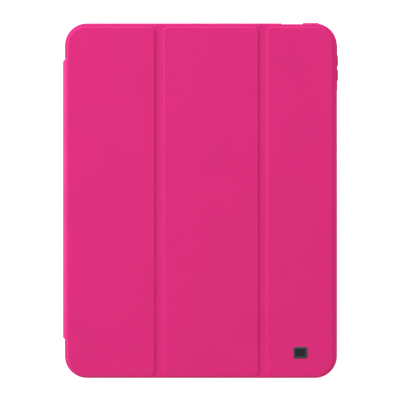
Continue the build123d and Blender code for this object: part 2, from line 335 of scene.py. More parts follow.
@dataclass(frozen=True)
class Microfibre:
    """Brushed microfibre: a short nap that catches light at its edges."""

    colour: Colour = (0.545, 0.0100, 0.120)
    brushed: Colour = (0.600, 0.0170, 0.145)
    fibre: float = 0.22 * MM

    def material(self) -> bpy.types.Material:
        """The finish as a material.

        Returns:
            A new material.
        """
        mix = Recipe("microfibre_nap", Placing.STORED)
        streaked = mix.stretched((1.0, 0.28, 1.0))
        nap = mix.noise(16 * MM, 5.0, streaked)
        fibres = mix.noise(self.fibre, 4.0, streaked)
        brushed = mix.mixed(mix.spread(nap, 0.38, 0.64, 0.0, 1.0), self.colour, self.brushed)
        dots = mix.spread(fibres, 0.32, 0.52, 0.6, 0.0)
        return mix.painted(
            Base_Color=mix.mixed(dots, brushed, toned(self.colour, 0.72)),
            Roughness=mix.spread(nap, 0.3, 0.7, 0.86, 0.95),
            Normal=mix.bumped(fibres, 0.12 * MM, 0.9),
            IOR=1.35,
            Specular_IOR_Level=0.2,
            Sheen_Weight=0.25,
            Sheen_Roughness=0.4,
            Sheen_Tint=(1.0, 0.35, 0.62),
        )


@dataclass(frozen=True)
class PressedBoard:
    """Grey fibre board, flecked and dull."""

    colour: Colour = (0.42, 0.40, 0.36)
    fleck: Colour = (0.22, 0.20, 0.18)

    def material(self) -> bpy.types.Material:
        """The finish as a material.

        Returns:
            A new material.
        """
        mix = Recipe("pressed_board", Placing.OBJECT)
        fibres = mix.noise(0.8 * MM, 5.0, mix.stretched((1.0, 0.4, 1.0)))
        return mix.painted(
            Base_Color=mix.mixed(mix.spread(fibres, 0.52, 0.68, 0.0, 1.0), self.colour, self.fleck),
            Roughness=mix.spread(fibres, 0.3, 0.7, 0.8, 0.95),
            Normal=mix.bumped(fibres, 0.03 * MM, 0.6),
        )


@dataclass(frozen=True)
class Metal:
    """Plated or blackened metal with a fine one-way brush and much lighter edges, partly bared metal from
    rubbing and partly a painted highlight.
    """

    name: str
    colour: Colour
    roughness: float
    placing: Placing = Placing.OBJECT

    def material(self) -> bpy.types.Material:
        """The finish as a material.

        Returns:
            A new material.
        """
        mix = Recipe(self.name, self.placing)
        brush = mix.noise(0.5 * MM, 3.0, mix.stretched((0.04, 1.0, 1.0)))
        lit = mix.mixed(mix.spread(brush, 0.35, 0.65, 0.0, 1.0), self.colour, toned(self.colour, 0.75))
        # Edges get a much lighter colour: bared metal from rubbing along with a painted highlight.
        edges = mix.stored("wear_and_highlight") if self.placing is Placing.STORED else mix.ridges()
        return mix.painted(
            Base_Color=mix.mixed(edges, lit, toned(self.colour, 2.2)),
            Roughness=mix.spread(brush, 0.35, 0.65, self.roughness, self.roughness + 0.1),
            Normal=mix.bumped(brush, 0.01 * MM, 0.4),
            Metallic=1.0,
        )


@dataclass(frozen=True)
class Paper:
    """The studio's seamless white floor, lit a little from within so that no shadow greys it."""

    colour: Colour = (0.93, 0.93, 0.93)
    glow: float = 0.46

    def material(self) -> bpy.types.Material:
        """The finish as a material.

        Returns:
            A new material.
        """
        mix = Recipe("studio_paper", Placing.OBJECT)
        tooth = mix.noise(1.5 * MM, 3.0)
        return mix.painted(
            Base_Color=mix.mixed(tooth, self.colour, toned(self.colour, 0.99)),
            Roughness=0.9,
            Emission_Color=(1.0, 1.0, 1.0),
            Emission_Strength=self.glow,
        )


@dataclass(frozen=True)
class Finishes:
    """Every finish of the case, made once and shared."""

    leather: bpy.types.Material
    shell: bpy.types.Material
    button: bpy.types.Material
    lining: bpy.types.Material
    board: bpy.types.Material
    magnet: bpy.types.Material
    badge: bpy.types.Material
    floor: bpy.types.Material

    @classmethod
    def mixed(cls) -> Finishes:
        """Makes the materials.

        Returns:
            The set.
        """
        tray = (0.600, 0.0070, 0.132)
        return cls(
            leather=Leather().material(),
            shell=Moulded("tray_plastic", tray).material(),
            button=Moulded("button_plastic", toned(tray, 0.94), roughness=0.36).material(),
            lining=Microfibre().material(),
            board=PressedBoard().material(),
            magnet=Metal("nickel_plate", (0.62, 0.60, 0.56), 0.3).material(),
            badge=Metal("gunmetal", (0.032, 0.036, 0.040), 0.28, Placing.STORED).material(),
            floor=Paper().material(),
        )


# ---------------------------------------------------------------- outlines and meshes


@dataclass(frozen=True)
class Corner:
    """One corner of an outline: round, or square with its points shared out along both sides."""

    radius: float
    square: bool = False

    def points(self, apex: Vector, arriving: Vector, leaving: Vector, count: int) -> list[Vector]:
        """Points round the corner.

        Args:
            apex: Where the two sides would meet.
            arriving: Unit direction of the side that comes in.
            leaving: Unit direction of the side that goes out.
            count: Number of steps, even.

        Returns:
            The points, from the end of one side to the start of the next.
        """
        if self.square:
            half = count // 2
            before = [apex - arriving * self.radius * (1.0 - i / half) for i in range(half)]
            after = [apex + leaving * self.radius * (i / half) for i in range(half + 1)]
            return before + after
        centre = apex - arriving * self.radius + leaving * self.radius
        outwards = [arriving * math.sin(turn) - leaving * math.cos(turn) for turn in quarter(count)]
        return [centre + way * self.radius for way in outwards]


@dataclass(frozen=True)
class Sides:
    """One value for each side of an outline."""

    left: float
    bottom: float
    right: float
    top: float

    @classmethod
    def even(cls, value: float) -> Sides:
        """The same value on every side."""
        return cls(value, value, value, value)

    def times(self, by: float) -> Sides:
        """Every value multiplied by one number."""
        return Sides(self.left * by, self.bottom * by, self.right * by, self.top * by)


@dataclass(frozen=True)
class Outline:
    """A rectangle seen from above, with its own kind of corner at each end of each side."""

    left: float
    bottom: float
    right: float
    top: float
    lower_left: Corner
    lower_right: Corner
    upper_right: Corner
    upper_left: Corner

    def shrunk(self, by: Sides) -> Outline:
        """The outline with each side moved inwards.

        Args:
            by: How far each side moves.

        Returns:
            The smaller outline; its round corners keep their centres where they can.
        """
        def tightened(corner: Corner, first: float, second: float) -> Corner:
            """A corner after its two sides moved in."""
            if corner.square:
                return corner
            return Corner(max(0.1 * MM, corner.radius - (first + second) / 2.0))

        return Outline(
            self.left + by.left, self.bottom + by.bottom, self.right - by.right, self.top - by.top,
            tightened(self.lower_left, by.left, by.bottom),
            tightened(self.lower_right, by.right, by.bottom),
            tightened(self.upper_right, by.right, by.top),
            tightened(self.upper_left, by.left, by.top),
        )

    def inset(self, by: float) -> Outline:
        """The outline with every side moved inwards by the same amount."""
        return self.shrunk(Sides.even(by))

    def ring(self, stops: Stops) -> list[Vector]:
        """Points round the outline, anticlockwise from the lower left.

        Args:
            stops: Where the straight sides have points between their corners.

        Returns:
            The points, level at height 0.
        """
        east, north = Vector((1, 0, 0)), Vector((0, 1, 0))
        south_east = Vector((self.right, self.bottom, 0))
        north_east = Vector((self.right, self.top, 0))
        north_west = Vector((self.left, self.top, 0))
        south_west = Vector((self.left, self.bottom, 0))
        points = [Vector((x, self.bottom, 0)) for x in stops.across]
        points += self.lower_right.points(south_east, east, north, stops.turn)
        points += [Vector((self.right, y, 0)) for y in stops.along_right]
        points += self.upper_right.points(north_east, north, -east, stops.turn)
        points += [Vector((x, self.top, 0)) for x in reversed(stops.across)]
        points += self.upper_left.points(north_west, -east, -north, stops.turn)
        points += [Vector((self.left, y, 0)) for y in reversed(stops.along_left)]
        points += self.lower_left.points(south_west, -north, east, stops.turn)
        return points


@dataclass(frozen=True)
class Stops:
    """Where every ring of a piece has its points, so that they line up from ring to ring."""

    across: tuple[float, ...]
    along_right: tuple[float, ...]
    along_left: tuple[float, ...]
    turn: int = 12


def level(points: Iterable[Vector], height: float) -> list[Vector]:
    """The same points at one height."""
    return [Vector((p.x, p.y, height)) for p in points]


def midway(first: Sequence[Vector], second: Sequence[Vector], share: float) -> list[Vector]:
    """A ring between two others."""
    return [a.lerp(b, share) for a, b in zip(first, second)]


class RingMesh:
    """A closed mesh made of rings of points, each joined to the one before it."""

    def __init__(self) -> None:
        """Starts an empty mesh that stores, for each point, how much of the lighter edge colour (rubbing
        plus painted highlight) it gets, and its place at rest.
        """
        self.mesh = bmesh.new()
        self.wear_and_highlight = self.mesh.verts.layers.float.new("wear_and_highlight")
        self.place = self.mesh.verts.layers.float_vector.new("place")
        self.last: list[bmesh.types.BMVert] = []

    def ring(self, points: Sequence[Vector], wear_and_highlight: float = 0.0) -> None:
        """Adds a ring, joined to the last one; the first is closed with a face instead.

        Args:
            points: The ring's points, as many as in every other ring.
            wear_and_highlight: How much of the lighter edge colour the leather or metal gets there, from 0
                to 1: partly rubbing, partly a painted highlight.
        """
        added = []
        for point in points:
            vert = self.mesh.verts.new(point)
            vert[self.wear_and_highlight] = wear_and_highlight
            vert[self.place] = point
            added.append(vert)
        if not self.last:
            self.mesh.faces.new(added)
        for i in range(len(self.last)):
            j = (i + 1) % len(added)
            self.mesh.faces.new((self.last[i], added[i], added[j], self.last[j]))
        self.last = added

    def made(self, name: str, material: bpy.types.Material) -> Piece:
        """Closes the last ring and turns the rings into an object in the scene.

        Args:
            name: The piece's name.
            material: Its finish.

        Returns:
            The piece.
        """
        self.mesh.faces.new(self.last)
        bmesh.ops.recalc_face_normals(self.mesh, faces=self.mesh.faces)
        data = bpy.data.meshes.new(name)
        self.mesh.to_mesh(data)
        self.mesh.free()
        data.shade_smooth()
        data.set_sharp_from_angle(angle=SHARP_EDGE)
        data.materials.append(material)
        return placed(name, data)


# ---------------------------------------------------------------- cover


class Edge(Enum):
    """How a panel ends at one of its two long sides."""

    FREE = "rolled over and cut"
    SEAM = "runs on into a fold"
    BEND = "bends down into the spine"


@dataclass(frozen=True)
class Step:
    """One ring on the way down the side of a raised pad, with how much of the lighter edge colour (rubbing
    plus painted highlight) it gets.
    """

    inset: float
    height: float
    wear_and_highlight: float


@dataclass(frozen=True)
class CoverSizes:
    """Sizes that the whole cover shares, read from the frame where it holds them."""

    left: float
    right: float
    bottom: float
    top: float
    lining_face: float
    skin_bottom: float
    border_top: float
    board_top: float
    pad_top: float
    corner: float = 17.05 * MM
    lining_corner: float = 16.45 * MM
    pad_corner: float = 15.0 * MM
    groove_corner: float = 4.4 * MM
    board_inset: float = 1.4 * MM
    spine_border: float = 0.9 * MM
    seam_offset: float = 2.6 * MM
    shoulder: float = 0.62 * MM
    toe: float = 0.30 * MM
    toe_steps: int = 3
    steepness: float = math.radians(54.0)
    edge_drop: float = 0.34 * MM
    edge_roll: Sides = Sides(0.62 * MM, 0.26 * MM, 1.45 * MM, 0.55 * MM)
    groove_sag: float = 0.14 * MM
    lining_press: float = 0.14 * MM
    board_slack: float = 0.06 * MM

    @classmethod
    def from_frame(cls) -> CoverSizes:
        """Reads the cover's place from the CAD nodes.

        Returns:
            The sizes.
        """
        free = box_high("panel_3_skin")
        return cls(
            left=-free.x,
            right=free.x,
            bottom=box_low("panel_2_skin").y,
            top=free.y,
            lining_face=box_low("panel_2_lining").z,
            skin_bottom=box_low("fold_1_skin").z,
            border_top=box_high("fold_1_skin").z,
            board_top=box_high("panel_2_board").z,
            pad_top=box_high("panel_2_skin").z,
        )

    def slope(self) -> list[Step]:
        """The side of a raised pad, from its rounded shoulder down to its toe.

        Returns:
            The steps, each with its inset from the pad's foot.
        """
        rise = self.pad_top - self.border_top
        arcs = self.shoulder + self.toe
        ramp = rise - arcs * (1.0 - math.cos(self.steepness))
        width = arcs * math.sin(self.steepness) + ramp / math.tan(self.steepness)
        # The shoulder rings get most of the lighter edge colour: rubbing along with a painted highlight
        # where light catches the pad's top edge.
        shoulder_wear_and_highlight = (0.1, 0.45, 1.0, 0.9, 0.35)
        steps = []
        for i, wear_and_highlight in enumerate(shoulder_wear_and_highlight):
            turn = self.steepness * i / (len(shoulder_wear_and_highlight) - 1)
            height = self.pad_top - self.shoulder * (1 - math.cos(turn))
            steps.append(Step(width - self.shoulder * math.sin(turn), height, wear_and_highlight))
        for i in range(self.toe_steps + 1):
            turn = self.steepness * (1 - i / self.toe_steps)
            height = self.border_top + self.toe * (1 - math.cos(turn))
            steps.append(Step(self.toe * math.sin(turn), height, 0.0))
        return steps


@dataclass(frozen=True)
class SpineSizes:
    """Sizes of the spine strip, its two bends and the flap on the back."""

    outer: float
    low: float
    high: float
    flap_end: float
    head_x: float
    head_z: float
    head_radius: float = 5.0 * MM
    foot_radius: float = 2.0 * MM
    seam_height: float = 6.2 * MM
    skin: float = 0.7 * MM
    stack: float = 1.5 * MM
    lining: float = 0.5 * MM
    lining_inset: float = 0.6 * MM
    flap_corner: float = 6.0 * MM
    flare: float = 3.5 * MM
    hem: float = 1.2 * MM
    round_over: float = 0.28 * MM
    flare_curve: float = 2.2
    lining_foot: float = 2.6 * MM
    lining_tuck: tuple[float, float] = (0.88 * MM, 1.55 * MM)
    hinge_start: tuple[float, float] = (1.30 * MM, 0.17 * MM)
    hinge_end: tuple[float, float] = (0.30 * MM, 1.20 * MM)

    @classmethod
    def from_frame(cls) -> SpineSizes:
        """Reads the spine's place from the CAD nodes.

        Returns:
            The sizes.
        """
        low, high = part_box("spine_skin")
        radius = cls.head_radius
        return cls(
            outer=low.x,
            low=low.y,
            high=high.y,
            flap_end=box_high("back_flap_skin").x,
            head_x=low.x + radius,
            head_z=box_high("panel_2_skin").z - radius,
        )

    def share(self, y: float, inset: float = 0.0) -> float:
        """How much of the bend a place along the spine has: 1 along the strip, 0 past its ends.

        Args:
            y: The place.
            inset: How much shorter the strip is at each end.

        Returns:
            The share, which rises slowly from the panel's edge and ends at the strip's corner.
        """
        reach = min(self.high - inset + self.flare - y, y - (self.low + inset - self.flare)) / self.flare
        held = min(1.0, max(0.0, reach))
        return held ** self.flare_curve

    def head(self, turn: float, across: float, rise: float) -> Vector:
        """A place on the upper bend."""
        angle = math.pi / 2 * turn
        return Vector((self.head_x - across * math.sin(angle), 0, self.head_z + rise * math.cos(angle)))


@dataclass
class Panel:
    """One stiffened panel of the cover: leather on its face and lining on its back."""

    number: int
    left: float
    right: float
    left_edge: Edge
    right_edge: Edge
    cover: CoverSizes
    spine: SpineSizes
    pad_flats: tuple[float, ...] = (13 * MM, 7 * MM, 2.2 * MM)
    lining_flats: tuple[float, ...] = (12 * MM, 2.4 * MM)

    @property
    def body(self) -> str:
        """Name of the CAD body that the panel moves with."""
        return f"panel_{self.number}"

    def corners(self, round_radius: float, seam_radius: float, square_seams: bool) -> tuple[Corner, Corner]:
        """Kinds of corner at the panel's left and right ends.

        Args:
            round_radius: Radius at a free or bent edge.
            seam_radius: Radius beside a fold.
            square_seams: Whether the corners beside a fold are square.

        Returns:
            The left and the right kind.
        """
        seam = Corner(seam_radius, square_seams)
        left = seam if self.left_edge is Edge.SEAM else Corner(round_radius)
        right = seam if self.right_edge is Edge.SEAM else Corner(round_radius)
        return left, right

    def sheet_outline(self, inset: float, radius: float) -> Outline:
        """Outline of a sheet that runs to the cover's free edges and to the seams.

        Args:
            inset: How far the sheet stays inside the cover's edge.
            radius: Its corner radius at the cover's corners.

        Returns:
            The outline.
        """
        left, right = self.corners(radius, self.cover.groove_corner, True)
        bottom, top = self.cover.bottom + inset, self.cover.top - inset
        by = self.unseamed(Sides.even(inset))
        return Outline(self.left + by.left, bottom, self.right - by.right, top, left, right, right, left)

    def foot_outline(self) -> Outline:
        """Outline of the raised pad's foot.

        Returns:
            The outline, found from the board inside the pad.
        """
        low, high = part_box(f"panel_{self.number}_board")
        grow = self.cover.board_inset
        start = self.cover.left + self.cover.spine_border if self.left_edge is Edge.BEND else low.x - grow
        left, right = self.corners(self.cover.pad_corner, self.cover.groove_corner, False)
        return Outline(start, low.y - grow, high.x + grow, high.y + grow, left, right, right, left)

    def stops(self) -> Stops:
        """Where the panel's rings have their points.

        Returns:
            The stops: close together where the bend runs out, and few elsewhere.
        """
        width = self.right - self.left
        across = tuple(self.left + width * share for share in (0.36, 0.43, 0.5, 0.57, 0.64))
        plain = (-90 * MM, -45 * MM, 0.0, 45 * MM, 90 * MM)
        if self.left_edge is not Edge.BEND:
            return Stops(across, plain, plain)
        flare, count = self.spine.flare, 14
        steps = [flare * i / count for i in range(count + 1)]
        lower = [self.spine.low - flare + step for step in steps]
        upper = [self.spine.high + step for step in steps]
        inside = 1 * MM
        along = (*lower, self.spine.low + inside, *plain, self.spine.high - inside, *upper)
        return Stops(across, plain, along)

    def unseamed(self, by: Sides) -> Sides:
        """The same values, with none beside a fold."""
        left = 0.0 if self.left_edge is Edge.SEAM else by.left
        return replace(by, left=left, right=0.0 if self.right_edge is Edge.SEAM else by.right)

    def bent(self, ring: Sequence[Vector], target: Vector, inset: float = 0.0) -> list[Vector]:
        """Moves a ring's points beside the spine onto the bend.

        Args:
            ring: The ring's points as if the panel ended at its border.
            target: Where the ring lies on the bend, at y 0.
            inset: How much shorter than the strip the sheet is at each end.

        Returns:
            The ring, changed only where the panel has a bend.
        """
        if self.left_edge is not Edge.BEND:
            return list(ring)
        edge = min(point.x for point in ring)
        moved = []
        for point in ring:
            share = self.spine.share(point.y, inset) if point.x < edge + 1e-6 else 0.0
            moved.append(point.lerp(Vector((target.x, point.y, target.z)), share))
        return moved

    def leather(self, finish: bpy.types.Material) -> Piece:
        """Makes the panel's leather: a raised pad, a pressed border and a rolled edge.

        Args:
            finish: The leather's material.

        Returns:
            The piece.
        """
        cover, spine, stops = self.cover, self.spine, self.stops()
        foot, edge = self.foot_outline(), self.sheet_outline(0.0, cover.corner)
        outer = spine.head_radius
        slope = cover.slope()
        rolls = [i / 4 for i in range(5)]
        last = len(slope) + len(rolls)
        mesh = RingMesh()
        for flat in self.pad_flats:
            mesh.ring(level(foot.inset(slope[0].inset + flat).ring(stops), cover.pad_top))
        for i, step in enumerate(slope):
            ring = level(foot.inset(step.inset).ring(stops), step.height)
            mesh.ring(self.bent(ring, spine.head(i / last, outer, outer)), step.wear_and_highlight)
        for i, roll in enumerate(rolls):
            turn = math.pi / 2 * roll
            height = cover.border_top - cover.edge_drop * (1 - math.cos(turn))
            roll_over = self.unseamed(cover.edge_roll.times(1 - math.sin(turn)))
            ring = level(edge.shrunk(roll_over).ring(stops), height)
            place = spine.head((len(slope) + 1 + i) / last, outer, outer)
            # The rolled edge gets more of the lighter edge colour towards the cover's side: rubbing along
            # with a painted highlight.
            mesh.ring(self.bent(ring, place), 0.3 + 0.4 * roll)
        brim = level(edge.ring(stops), cover.skin_bottom)
        mesh.ring(self.bent(brim, Vector((spine.outer, 0, spine.seam_height))))
        self.underside(mesh, brim, stops)
        return mesh.made(f"{self.body}_leather", finish)

    def underside(self, mesh: RingMesh, brim: Sequence[Vector], stops: Stops) -> None:
        """Closes the leather beneath, round the board that it covers.

        Args:
            mesh: The leather so far.
            brim: Its lowest ring, as if there were no bend.
            stops: Where its rings have their points.
        """
        cover, spine = self.cover, self.spine
        slack = cover.board_slack
        hollow = self.foot_outline().inset(cover.board_inset - slack)
        if self.left_edge is Edge.BEND:
            hollow = replace(hollow, left=box_low("panel_1_board").x - slack)
        rim = level(hollow.ring(stops), cover.skin_bottom)
        inner = spine.outer + spine.stack
        across, rise = spine.head_x - inner, cover.skin_bottom - spine.head_z
        mesh.ring(self.bent(midway(brim, rim, 0.06), Vector((inner, 0, spine.seam_height))))
        for share in (0.0, 0.2, 0.4, 0.6, 0.8, 0.99):
            ring = midway(brim, rim, 0.12 + 0.82 * share)
            mesh.ring(self.bent(ring, spine.head(1 - share, across, rise)))
        mesh.ring(rim)
        mesh.ring(level(rim, cover.board_top))

    def lining(self, finish: bpy.types.Material) -> Piece:
        """Makes the panel's lining, pressed down outside the board so that the board shows through.

        Args:
            finish: The lining's material.

        Returns:
            The piece.
        """
        cover, spine, stops = self.cover, self.spine, self.stops()
        inset, thick = spine.lining_inset, cover.skin_bottom - cover.lining_face
        edge = self.sheet_outline(inset, cover.lining_corner)
        board = self.foot_outline().inset(cover.board_inset)
        if self.left_edge is Edge.BEND:
            board = replace(board, left=box_low("panel_1_board").x + 0.5 * MM)
        press, soft = cover.lining_press, 0.7 * MM
        inner = spine.outer + spine.stack + spine.lining
        across, rise = spine.head_x - inner, cover.lining_face - spine.head_z
        mesh = RingMesh()
        for flat in self.lining_flats:
            mesh.ring(level(board.inset(flat).ring(stops), cover.lining_face))
        for share in (0.0, 0.25, 0.5, 0.75, 1.0):
            height = cover.lining_face + press * eased(share)
            mesh.ring(level(board.inset(soft * (1 - share)).ring(stops), height))
        flat = level(board.ring(stops), cover.lining_face + press)
        rounding = self.unseamed(Sides.even(0.15 * MM))
        lip = level(edge.shrunk(rounding).ring(stops), cover.lining_face + press)
        turns = (0.0, 0.2, 0.4, 0.6, 0.8)
        for turn in turns:
            ring = midway(flat, lip, 0.15 + 0.85 * turn / turns[-1])
            mesh.ring(self.bent(ring, spine.head(turn, across, rise), inset))
        side = level(edge.ring(stops), cover.lining_face + press + 0.12 * MM)
        mesh.ring(self.bent(side, spine.head(1.0, across, rise), inset))
        upper = level(edge.ring(stops), cover.skin_bottom)
        seam = Vector((inner, 0, spine.seam_height))
        mesh.ring(self.bent(midway(side, upper, 0.5), seam, inset))
        outer_seam = Vector((inner - thick, 0, spine.seam_height))
        mesh.ring(self.bent(upper, outer_seam, inset))
        across, rise = across + thick, rise + thick
        back = level(board.ring(stops), cover.skin_bottom)
        for share in (0.0, 0.25, 0.5, 0.75, 0.99):
            ring = midway(upper, back, 0.1 + 0.85 * share)
            mesh.ring(self.bent(ring, spine.head(1 - share, across, rise), inset))
        mesh.ring(back)
        return mesh.made(f"{self.body}_lining_sheet", finish)

    def fit(self, piece: Piece, node: str) -> None:
        """Joins a piece to the frame: it stands for a CAD node and moves with the panel.

        Args:
            piece: The piece.
            node: The CAD node that it stands for.
        """
        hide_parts(node)
        if self.left_edge is Edge.BEND:
            place = self.spine
            start = (place.outer, 0, place.seam_height + 1.0 * MM)
            end = (place.head_x - 0.9 * MM, 0, place.head_z + place.head_radius)
            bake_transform(piece, "spine", self.body, start=start, end=end)
        else:
            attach(piece, self.body)

    def build(self, finishes: Finishes) -> list[Piece]:
        """Makes and fits both sheets and dresses the board.

        Args:
            finishes: The case's finishes.

        Returns:
            The pieces.
        """
        leather, lining = self.leather(finishes.leather), self.lining(finishes.lining)
        self.fit(leather, f"{self.body}_skin")
        self.fit(lining, f"{self.body}_lining")
        return [leather, lining, *dress(finishes.board, f"{self.body}_board")]


def dress(material: bpy.types.Material, *names: str) -> list[Piece]:
    """Gives shown CAD nodes their finish.

    Args:
        material: The finish.
        names: The nodes' names.

    Returns:
        The dressed nodes.
    """
    nodes = [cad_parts[name] for name in names]
    for node in nodes:
        for slot in node.material_slots:
            slot.material = material
    return nodes


@dataclass(frozen=True)
class Slice:
    """One crosswise slice of a narrow strip: where its outer face is and how far it reaches."""

    outer: Vector
    inward: Vector
    thickness: float
    hem: float
    low: float
    high: float
    sag: float = 0.0


def slice_ring(cut: Slice, round_over: float, hem_width: float) -> list[Vector]:
    """Points round one slice of a strip.

    Args:
        cut: The slice.
        round_over: Radius of the strip's two long outer edges.
        hem_width: Width of the turned-in hem along each of them.

    Returns:
        The points, going round the slice once.
    """
    def spot(y: float, depth: float) -> Vector:
        """A point of the slice at a place across and a depth below the outer face."""
        return cut.outer + cut.inward * depth + Vector((0, y, 0))

    fade = 7.0 * MM
    edge = [(round_over * (1 - math.sin(a)), round_over * (1 - math.cos(a))) for a in quarter(4)]
    low_edge = [spot(cut.low + reach, depth) for reach, depth in reversed(edge)]
    high_edge = [spot(cut.high - reach, depth) for reach, depth in edge]
    middle = []
    for share in (0.25, 0.5, 0.75, 1.0):
        middle.append(spot(cut.low + fade * share, cut.sag * eased(share)))
    for share in (1.0, 0.75, 0.5, 0.25):
        middle.append(spot(cut.high - fade * share, cut.sag * eased(share)))
    under = [
        spot(cut.high, cut.hem),
        spot(cut.high - hem_width, cut.hem),
        spot(cut.high - hem_width - 0.2 * MM, cut.thickness),
        spot(cut.low + hem_width + 0.2 * MM, cut.thickness),
        spot(cut.low + hem_width, cut.hem),
        spot(cut.low, cut.hem),
    ]
    return low_edge + middle + high_edge + under


@dataclass
class Fold:
    """One fold between two panels: a strip of leather and lining with a crease at each side."""

    number: int
    cover: CoverSizes
    spine: SpineSizes
    slices: int = 28
    crease_start: float = 1.05 * MM
    crease_end: float = 2.3 * MM

    @property
    def middle(self) -> float:
        """Middle of the groove."""
        low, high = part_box(f"fold_{self.number}_skin")
        return (low.x + high.x) / 2

    def strip(self, name: str, start: float, end: float, sheet: Slice, finish: bpy.types.Material) -> Piece:
        """Makes half of the fold's width in one sheet.

        Args:
            name: The piece's name.
            start: Where it starts across the case.
            end: Where it ends.
            sheet: The sheet's heights and reach, at x 0.
            finish: Its material.

        Returns:
            The piece.
        """
        mesh, count = RingMesh(), self.slices
        for i in range(count + 1):
            x = start + (end - start) * i / count
            across = (x - self.middle) / self.cover.seam_offset
            sag = sheet.sag * math.cos(math.pi / 2 * across) ** 2
            cut = replace(sheet, outer=Vector((x, 0, sheet.outer.z)), sag=sag)
            # The whole strip gets a little of the lighter edge colour, rubbing along with a painted
            # highlight.
            mesh.ring(slice_ring(cut, self.spine.round_over * 0.6, 0.5 * MM), 0.15)
        return mesh.made(name, finish)

    def build(self, finishes: Finishes) -> list[Piece]:
        """Makes the leather and lining halves and bends each across its own crease.

        Args:
            finishes: The case's finishes.

        Returns:
            The pieces.
        """
        cover, reach = self.cover, self.cover.seam_offset
        inset = self.spine.lining_inset
        skin = cover.border_top - cover.skin_bottom
        down, up = Vector((0, 0, -1)), Vector((0, 0, 1))
        face = Vector((0, 0, cover.border_top))
        leather = Slice(face, down, skin, skin, cover.bottom, cover.top, cover.groove_sag)
        face = Vector((0, 0, cover.lining_face + cover.lining_press))
        thick = cover.skin_bottom - face.z
        lining = Slice(face, up, thick, thick, cover.bottom + inset, cover.top - inset)
        body, near, far = f"fold_{self.number}", self.crease_start, self.crease_end
        before, after = f"panel_{self.number}", f"panel_{self.number + 1}"
        sheets = (
            ("leather", "skin", leather, finishes.leather),
            ("lining", "lining", lining, finishes.lining),
        )
        sides = (
            ("spine_side", self.middle - reach, self.middle, before, body, -far, -near),
            ("free_side", self.middle, self.middle + reach, body, after, near, far),
        )
        made = []
        for side, start, end, first, second, bend_start, bend_end in sides:
            for kind, node, sheet, finish in sheets:
                piece = self.strip(f"{body}_{kind}_{side}", start, end, sheet, finish)
                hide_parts(f"{body}_{node}")
                height = cover.skin_bottom
                bend = [(self.middle + x, 0, height) for x in (bend_start, bend_end)]
                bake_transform(piece, first, second, start=bend[0], end=bend[1])
                made.append(piece)
        return made


